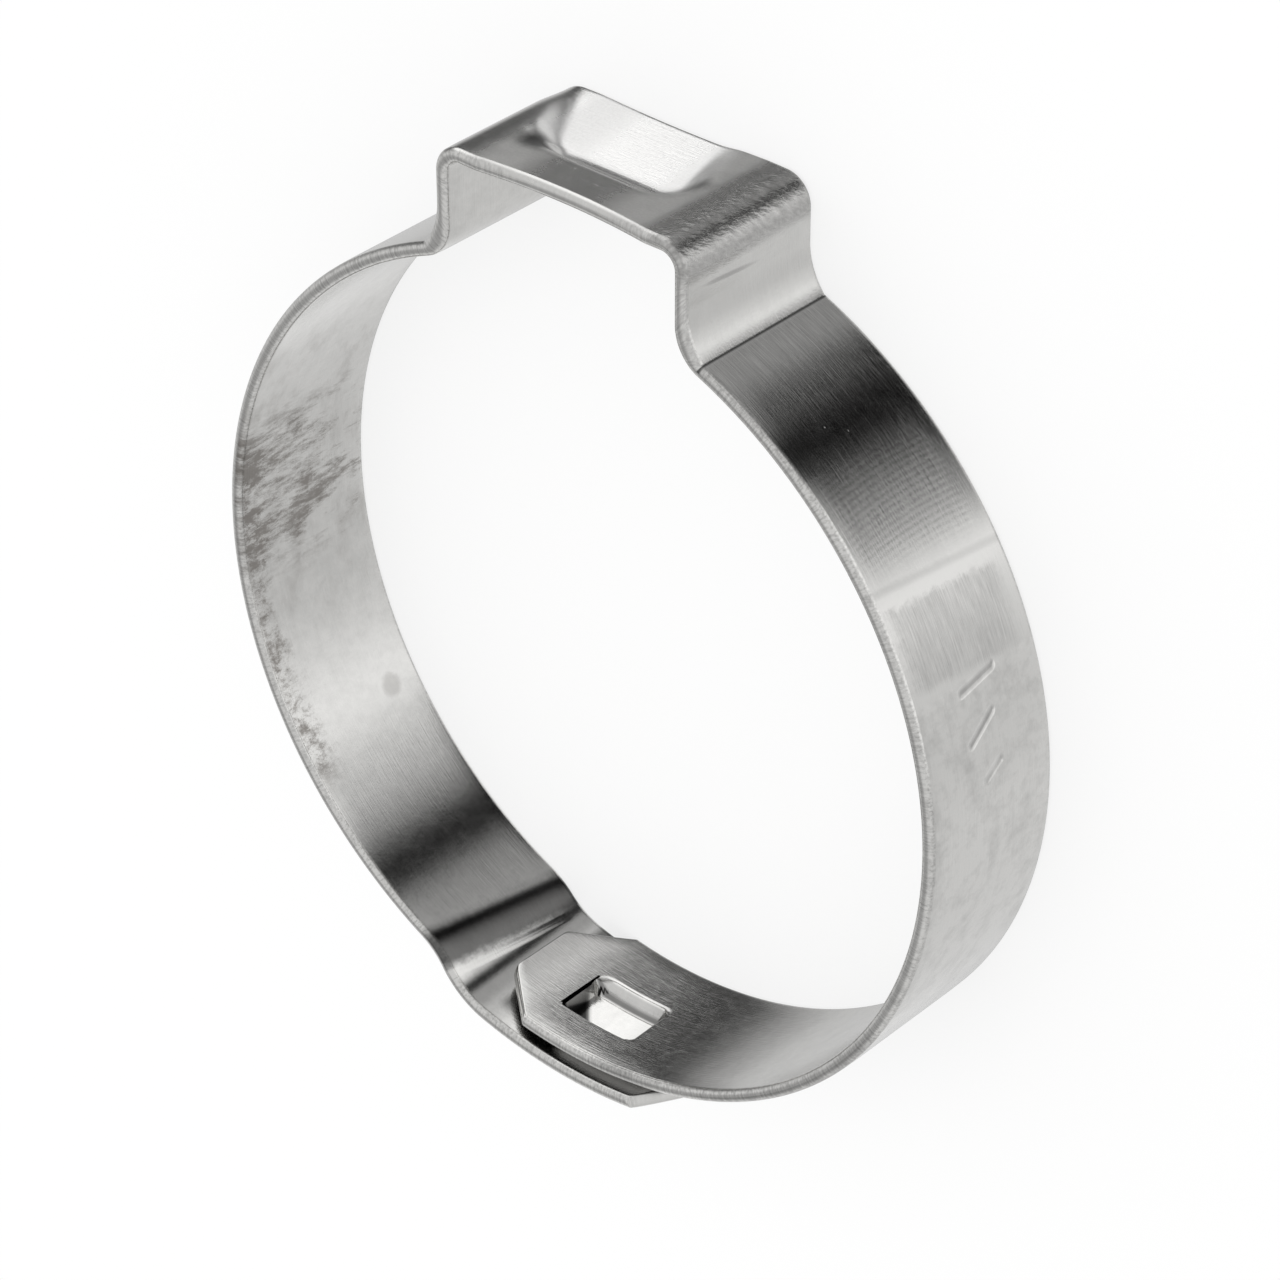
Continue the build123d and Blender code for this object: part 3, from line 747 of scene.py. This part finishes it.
class Marks:
    """Masks over the strip, each 1 on its mark and 0 away from it, made from the strip's own coordinates and noises."""

    def __init__(self, nodes, strip):
        self.nodes, self.strip = nodes, strip
        self.along, self.across, _ = nodes.split(nodes.make("UVMap", {"uv_map": "strip"}))
        side, self.recess = (nodes.make("Attribute", {"attribute_name": name}, output=2)
                             for name in ("side", "recess"))
        self.outside = nodes.step(side, 0.45, 0.55)
        self.inside = 1 - self.outside
        for name, (stretch_along, stretch_across, slice_at, *texture) in NOISES.items():
            place = nodes.vector(self.along * stretch_along, self.across * stretch_across, slice_at)
            setattr(self, name, nodes.noise(place, *texture))
        slanted = nodes.vector(self.along - self.across * PEBBLE_SLANT, self.across * PEBBLE_SLANT, 0.0)
        self.pebble = nodes.noise(slanted, *PEBBLE_NOISE)
        self.wander = (self.mottle - 0.5) * 1.6
        # Rolled long edges: painted shade that dims their highlight, mottled by specks, and more roughness.
        self.edge = 1 - nodes.between(self.across, 0.2, strip.width - 0.2, 0.08)
        tilt = self.along - MARK_SLANT * self.across
        self.add_ground_marks(nodes, self.along, self.across, self.wander, tilt)
        self.add_plain_marks(nodes, self.along, self.across, self.wander, tilt)
        self.add_joggle_marks(nodes, self.along, self.across)
        self.add_stains_and_shade(nodes, self.along, self.across, self.wander)
        self.add_ear_marks(nodes, self.along, self.across, self.wander)

    def at(self, angle):
        """Length along the strip at an angle round the ring."""
        return self.strip.along_at(angle + 360)

    def zone(self, place, angles, soft):
        """1 between two angles round the ring."""
        return self.nodes.between(place, self.at(angles[0]), self.at(angles[1]), soft)

    def line(self, place, angle, reach, soft):
        """1 on a line across the strip, which reaches a little to both sides of an angle."""
        return self.nodes.between(place, self.at(angle) + reach[0], self.at(angle) + reach[1], soft)

    def add_ground_marks(self, nodes, along, across, wander, tilt):
        """Lengthwise grinding beside the ear's foot, painted shade along the crease at the foot, and a zone with fine
        cross ripples.
        """
        self.ground = self.zone(along, GROUND_ZONE, 0.15) * self.outside
        self.crease = self.line(along, FOOT_CREASE, FOOT_CREASE_REACH, 0.05) * self.outside
        self.pits = nodes.step(self.pinholes, 0.76, 0.8) * self.ground
        rub = self.zone(tilt + wander * 0.5, RUBBED_ZONE, 0.5) * self.outside
        self.rub = rub * nodes.between(across + wander * 0.3, *RUBBED_ACROSS, 0.3)
        wave = (along * WAVE_RADIANS_PER_MM + (across - 3.5) ** 2 * 0.5 + self.mottle * 2.5).math("SINE")
        self.ripple = 0.5 + (wave * 0.13 + (self.speck - 0.5) * 0.7) * (0.2 + 1.2 * self.cloud)

    def add_plain_marks(self, nodes, along, across, wander, tilt):
        """The dull patch, a painted dark line of shade at the bend above it, the cloudy plain zone under it, and the
        stamped marks, dents darkened with painted shade.
        """
        patch = 1 - nodes.border(tilt + wander * 0.6, self.at(DULL_PATCH[1]), 0.2)
        patch = patch * nodes.border(tilt + wander * 0.35, self.at(DULL_PATCH[0]), 0.25) * self.outside
        patch = patch * nodes.between(across + wander * 0.8, *RUBBED_ACROSS, 0.5)
        self.patch = patch * (0.35 + 1.3 * self.cloud)
        self.kink = self.zone(tilt + wander * 0.08, BENT_LINE, 0.12) * self.outside
        self.plate = self.zone(along, PLAIN_ZONE, 0.12) * self.outside
        self.low_side = self.zone(along + wander, LOW_ZONE, 2.2) * self.outside
        dashes = (nodes.dash(along, across, self.at(from_angle), from_height, self.at(to_angle), to_height) * share
                  for from_angle, from_height, to_angle, to_height, share in STAMP_MARKS)
        self.stamp = sum(dashes) * self.outside

    def add_joggle_marks(self, nodes, along, across):
        """Painted shade in a band before the joggle's fold and a painted highlight on its ridge, both on the inner
        side.
        """
        fold = along + MARK_SLANT * across
        self.joggle = self.zone(fold + self.wander * 0.3, JOGGLE_SHADE, 0.3) * self.inside
        ridge = self.line(fold, JOGGLE_RIDGE, JOGGLE_RIDGE_REACH, 0.1) * self.inside
        self.ridge = ridge * nodes.step(across, 0.6, 1.4)

    def add_stains_and_shade(self, nodes, along, across, wander):
        """Painted shade on the tongue, and smudges, a soft round spot, flecks along the top edge and specks on the
        tongue, on the inner side.
        """
        self.tongue_shade = self.zone(along + wander, TONGUE_SHADE, 1.2) * self.inside
        smudge = nodes.step(self.streak + 0.5 * self.patches + 0.022 * across, 0.76, 0.98)
        smudge = smudge * self.zone(along, SMUDGED_ZONE, 1.4)
        blur = nodes.step(self.cloud + 0.3 * self.mottle, 0.6, 0.85) * self.zone(along, BLURRED_ZONE, 2.0)
        top_edge = nodes.step(across, 4.6, 6.5)
        fleck = nodes.step(self.flecks + 0.26 * top_edge + 0.2 * (self.patches - 0.5), 0.63, 0.86)
        fleck = fleck * self.zone(along, FLECKED_ZONE, 1) * (1 - nodes.step(across, 6.7, 6.9))
        fleck = fleck * (0.6 + 1.2 * (self.cloud - 0.2)) * top_edge
        away = ((along - self.at(ROUND_SPOT[0])) ** 2 + (across - ROUND_SPOT[1]) ** 2) ** 0.5
        spot = (1 - nodes.step((away + wander * 0.15) * self.inside, 0.3, 0.65)) * self.inside
        spot = spot * nodes.step(along, self.at(ROUND_SPOT_START[0]), self.at(ROUND_SPOT_START[1]))
        speckle = nodes.step(self.speck, 0.6, 0.75) * self.zone(along, TONGUE_SPECKS, 1.0)
        stain = smudge * 0.95 + fleck + blur * 0.28 + spot * 0.3 + speckle * 0.12
        self.stain = (stain * self.inside).clamp()

    def add_ear_marks(self, nodes, along, across, wander):
        """Grain on the ear's right bend, a scuff on the leg below it, a painted highlight on the dimple's floor, and
        painted shade with one painted highlight round the punch marks' dents, each by its distance from a place."""
        bend = self.at(LEG_START) + self.strip.ear_in - EAR_BEND - self.strip.shoulder_y
        past = along - bend
        self.peel = nodes.between(past + wander * 0.3, -0.5, 1.25, 0.45) * self.outside
        self.leg = nodes.between(past, -4.6, 1.3, 0.3) * self.outside
        self.top = nodes.between(past, 1.6, 10.0, 0.6)
        self.ends = 1 - nodes.between(past, 3.7, 7.8, 0.9)
        floor = nodes.between(past + 0.45 * across, 3.3, 12.2, 0.8) * nodes.between(across, -1, 3.9, 0.9)
        self.dimple_highlight = floor * nodes.between(past, 2.6, 10.6, 0.8) * self.outside
        up = across - 4.6
        scuff = ((past + 1.45 - 0.13 * up) * 4.2) ** 2 + (up * 0.62) ** 2
        self.scuff = (1 - nodes.step(scuff ** 0.5 + wander * 0.5, 0.3, 1.1)) * self.leg
        middle = self.strip.top_start + self.strip.flat_half
        dent_shadings = 0
        for place, height, full, outer, share in DENT_SHADINGS:
            away = ((past - middle - place) ** 2 + (across - height) ** 2) ** 0.5
            dent_shadings = dent_shadings + (1 - nodes.step(away + wander * 0.25, full, outer)) * share
        self.dent_shading = (dent_shadings * self.outside).clamp()

    def darkened(self, tone, shares):
        for name, share in shares.items():
            tone = tone * (1 - share * getattr(self, name))
        return tone

    def tone(self):
        """Brightness: that of clean steel, with lines along the grain, clouds and pebbles, less each mark's share, with
        painted shade on the rolled edges, plus a painted highlight on the joggle's ridge.
        """
        lines = (self.grain - 0.5) * 0.5 + (self.fine - 0.5) * 0.4
        tone = 0.96 + lines * (0.15 + 1.1 * self.ground + 0.9 * self.patch + 0.9 * self.rub)
        tone = tone + (self.ripple - 0.5) * 0.6 * self.rub
        tone = tone + (self.mottle - 0.5) * (0.1 + 0.22 * self.inside + 0.4 * self.plate)
        tone = tone - 0.12 * self.ground - 0.18 * self.patch - 0.14 * self.kink
        tone = self.darkened(tone, EARLY_SHADES) * (1 - self.edge * 1.1 * (self.speck - 0.44))
        tone = tone * (1 - self.peel * (0.2 + 0.5 * (self.pebble - 0.4)) - self.leg * 0.2 * (self.mottle - 0.3))
        tone = tone + (self.cloud - 0.5) * 0.5 * self.plate + (self.speck - 0.5) * 0.2 * self.top
        return (self.darkened(tone, LATE_SHADES) + self.ridge * 0.2).clamp()

    def roughness(self, clean):
        """Roughness: that of clean steel, and more on stains, on the ear's top, on rubbed places and at the edges."""
        rough = clean + 0.08 * (self.grain - 0.5) + 0.10 * (self.mottle - 0.5) + 0.05 * self.patch + 0.2 * self.stain
        rough = rough + (0.1 + 0.13 * self.ends) * self.top * self.outside + 0.06 * self.peel + 0.04 * self.leg
        return (rough + 0.1 * self.rub * (self.ripple - 0.3) + 0.1 * self.edge).clamp()

    def relief(self):
        """Height for the bump: grain and specks, weaker on the ear's top, with pebbles, ripples and stamped marks."""
        relief = self.grain * 0.35 + self.fine * 0.2 + self.speck * (0.1 + 0.4 * self.leg)
        relief = relief * (1 - 0.25 * self.top) + self.pebble * self.peel * PEBBLE_RELIEF
        relief = relief + self.ripple * 0.2 * self.rub + self.pits * 0.6 - self.stamp * STAMP_RELIEF
        return relief + self.ridge * 0.8 + self.mottle * self.inside * 0.25


def new_material(name):
    material = bpy.data.materials.new(name)
    material.use_nodes = True
    return material, Nodes(material.node_tree)


def steel_material(finish, strip):
    """Rolled stainless strip: lengthwise grain, a ground outer side, smudges and stains on the inner side, and
    painted shade and highlights at creases, dents, recesses, the joggle and the dimple.
    """
    material, nodes = new_material("rolled_stainless")
    marks = Marks(nodes, strip)
    colour = nodes.blend(marks.stain, (*finish.steel, 1), (*finish.stain, 1))
    # Painted highlight on the dimple's floor.
    colour = nodes.blend(marks.dimple_highlight, colour, DIMPLE_HIGHLIGHT_STEEL)
    tone = marks.tone()
    shade = nodes.make("CombineColor", {}, tone, tone, tone)
    base = nodes.make("VectorMath", {"operation": "MULTIPLY"}, colour, shade)
    bump = nodes.make("Bump", {}, Strength=finish.grain, Distance=BUMP_DISTANCE, Height=marks.relief())
    shader = nodes.make("BsdfPrincipled", {}, Base_Color=base, Metallic=1.0,
                        Roughness=marks.roughness(finish.roughness), Normal=bump)
    nodes.make("OutputMaterial", {}, Surface=shader)
    return material


# ---------------------------------------------------------------- stage

# Plain studio as polished metal sees it, at two heights below the horizon: azimuth from +X, level of its light.
SURROUND_LOW = (
    (-180, 0.6), (-165, 0.65), (-125, 0.55), (-113, 0.62), (-103, 0.7), (-90, 0.81), (-60, 0.88), (-45, 0.9),
    (-30, 0.82), (-12, 0.82), (-3, 0.93), (3, 0.95), (12, 1.05), (19, 1.3), (25, 0.9), (30, 0.5), (36, 0.28),
    (43, 0.15), (48, 0.05), (51, 0.0), (77, 0.0), (81, 0.14), (84, 0.36), (88, 0.42), (96, 0.3), (115, 0.2),
    (141, 0.17), (160, 0.24), (180, 0.6),
)
SURROUND_HIGH = (
    (-180, 0.5), (-172, 0.74), (-140, 0.7), (-129, 0.78), (-117, 0.97), (-104, 1.0), (-94, 0.86), (-65, 0.74),
    (-9, 0.72), (-1, 0.85), (5, 0.95), (11, 1.1), (17, 1.2), (25, 1.12), (31, 1.0), (42, 0.76), (48, 0.56),
    (54, 0.28), (58, 0.04), (65, 0.01), (69, 0.24), (73, 0.46), (86, 0.45), (104, 0.7), (111, 0.9), (116, 0.35),
    (123, 0.1), (150, 0.03), (158, 0.04), (165, 0.14), (173, 0.38), (180, 0.5),
)
SURROUND_BLEND = (-43, -35)
# Heights over which each surface comes in, azimuths and soft border of the narrow ones, and levels.
UNDERSIDE_HEIGHT, UNDERSIDE_LEVEL = (-47, -64), 0.85
CARD_AZIMUTH, CARD_HEIGHT, CARD_LEVEL = (106, 151, 6), (-34, -30), 1.5
GLOW_AZIMUTH, GLOW_HEIGHT, GLOW_LEVEL = (-12, 50, 8), (-32, -22), 1.25
CEILING_HEIGHT, CEILING_LEVEL = (5, 40), 0.85
SCREEN_AZIMUTH, SCREEN_HEIGHT, SCREEN_DIMMING = (-158, -100, 14), (20, 54, 8), 0.5

FLOOR_WHITE = 0.75
LAMP_PLACE = (-0.05, 0.1, 0.6)
SENSOR_WIDTH = 36
CLIP_START = 0.01
CAMERA_PLACE = (0.102805, 0.103219, 0.118060)
# Angles of the camera's turn about X, then Y, then Z.
CAMERA_TURN = (-33.830, 41.629, -0.093)

# Outputs of the Light Path node.
CAMERA_RAY, GLOSSY_RAY, GLASS_RAY = 0, 3, 6


def set_world(nodes):
    """Studio seen by gloss: a level for each azimuth, a white card from below the horizon up on one side, a glow on
    the other, a soft ceiling and a dim screen. Everything else sees plain white."""
    x, y, z = nodes.split(nodes.make("TexCoord"))
    azimuth = y.math("ARCTAN2", x) * (180 / pi)
    height = z.math("ARCSINE") * (180 / pi)
    share = (azimuth + 180) / 360

    def around(levels):
        return nodes.make("ValToRGB", {"stops": [((a + 180) / 360, level) for a, level in levels]}, share)

    low = around(SURROUND_LOW)
    level = low + nodes.step(height, *SURROUND_BLEND) * (around(SURROUND_HIGH) - low)
    surfaces = (
        (nodes.step(height, *UNDERSIDE_HEIGHT), UNDERSIDE_LEVEL),
        (nodes.between(azimuth, *CARD_AZIMUTH) * nodes.step(height, *CARD_HEIGHT), CARD_LEVEL),
        (nodes.between(azimuth, *GLOW_AZIMUTH) * nodes.step(height, *GLOW_HEIGHT), GLOW_LEVEL),
        (nodes.step(height, *CEILING_HEIGHT), CEILING_LEVEL),
    )
    for mask, target in surfaces:
        level = level + mask * (target - level)
    screen = nodes.between(azimuth, *SCREEN_AZIMUTH) * nodes.between(height, *SCREEN_HEIGHT)
    level = level * (1 - SCREEN_DIMMING * screen)
    strength = 1 + nodes.make("LightPath", {}, output=GLOSSY_RAY) * (level - 1)
    background = nodes.make("Background", {}, (1, 1, 1, 1), strength)
    nodes.make("OutputWorld", {}, Surface=background)


def add_floor(settings):
    """Plain square floor on which the ring's edge rests. It is nearly white to the camera, to gloss and to glass."""
    share = np.array([-0.5, 0.5]) * settings.floor_size
    x, y = np.meshgrid(share, share)
    corners = np.stack([x, y, 0 * x], -1).reshape(-1, 3)
    mesh = bpy.data.meshes.new("studio_floor")
    mesh.from_pydata(corners.tolist(), [], [(0, 1, 3, 2)])
    material, nodes = new_material("pale_floor")
    shader = nodes.make("BsdfDiffuse", {}, (*settings.floor, 1))
    white = nodes.make("Emission", {}, (1, 1, 1, 1), 1.0)
    camera, gloss, glass = (nodes.make("LightPath", {}, output=ray)
                            for ray in (CAMERA_RAY, GLOSSY_RAY, GLASS_RAY))
    surface = nodes.make("MixShader", {}, (camera + gloss + glass).clamp() * FLOOR_WHITE, shader, white)
    nodes.make("OutputMaterial", {}, Surface=surface)
    mesh.materials.append(material)
    floor = add_object("studio_floor", mesh)
    floor.visible_glossy = False
    return floor


def add_lamp(settings):
    """Large soft square lamp above the clamp, which points at the ring's axis on the floor."""
    light = bpy.data.lights.new("soft_lamp", "AREA")
    light.shape = "SQUARE"
    light.size = settings.lamp_size
    light.energy = settings.lamp_power
    lamp = add_object("soft_lamp", light)
    lamp.location = LAMP_PLACE
    lamp.rotation_euler = (-Vector(LAMP_PLACE)).to_track_quat("-Z", "Y").to_euler()
    lamp.visible_glossy = False


def add_camera(settings):
    """Camera that looks down on the ring from the ear's right."""
    data = bpy.data.cameras.new("view_camera")
    data.lens = settings.lens
    data.sensor_width = SENSOR_WIDTH
    data.sensor_fit = "HORIZONTAL"
    data.clip_start = CLIP_START
    camera = add_object("view_camera", data)
    camera.location = CAMERA_PLACE
    camera.rotation_euler = [radians(angle) for angle in CAMERA_TURN]
    bpy.context.scene.camera = camera


# ---------------------------------------------------------------- operators


class CLAMP_OT_strip(bpy.types.Operator):
    """Add the clamp's strip in place of the plain solid"""

    bl_idname = "hose_clamp.strip"
    bl_label = "Add Clamp Strip"

    def execute(self, context):
        scene = context.scene
        piece = add_strip(scene.clamp_sizes)
        piece.data.materials.append(steel_material(scene.clamp_finish, Strip(scene.clamp_sizes)))
        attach(piece, "root")
        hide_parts("clamp_band")
        return {"FINISHED"}


class CLAMP_OT_stage(bpy.types.Operator):
    """Add the floor, the soft lamp, the plain studio and the camera"""

    bl_idname = "hose_clamp.stage"
    bl_label = "Add Studio Stage"

    def execute(self, context):
        scene = context.scene
        settings = scene.clamp_stage
        add_floor(settings)
        add_lamp(settings)
        add_camera(settings)
        scene.world = scene.world or bpy.data.worlds.new("studio")
        scene.world.use_nodes = True
        set_world(Nodes(scene.world.node_tree))
        scene.view_settings.view_transform = "Standard"
        return {"FINISHED"}


class CLAMP_PT_panel(bpy.types.Panel):
    """Buttons and settings of the hose clamp"""

    bl_label = "Hose Clamp"
    bl_space_type = "VIEW_3D"
    bl_region_type = "UI"
    bl_category = "Hose Clamp"

    def draw(self, context):
        for group, operator in ((context.scene.clamp_sizes, CLAMP_OT_strip), (context.scene.clamp_finish, None),
                                (context.scene.clamp_stage, CLAMP_OT_stage)):
            box = self.layout.box()
            for name in type(group).__annotations__:
                box.prop(group, name)
            if operator:
                box.operator(operator.bl_idname)


CLASSES = (ClampSizes, ClampFinish, ClampStage, CLAMP_OT_strip, CLAMP_OT_stage, CLAMP_PT_panel)


def register():
    for item in CLASSES:
        bpy.utils.register_class(item)
    bpy.types.Scene.clamp_sizes = PointerProperty(type=ClampSizes)
    bpy.types.Scene.clamp_finish = PointerProperty(type=ClampFinish)
    bpy.types.Scene.clamp_stage = PointerProperty(type=ClampStage)


def unregister():
    del bpy.types.Scene.clamp_stage
    del bpy.types.Scene.clamp_finish
    del bpy.types.Scene.clamp_sizes
    for item in reversed(CLASSES):
        bpy.utils.unregister_class(item)


def main():
    register()
    bpy.ops.hose_clamp.stage()
    bpy.ops.hose_clamp.strip()


if __name__ == "__main__":
    main()
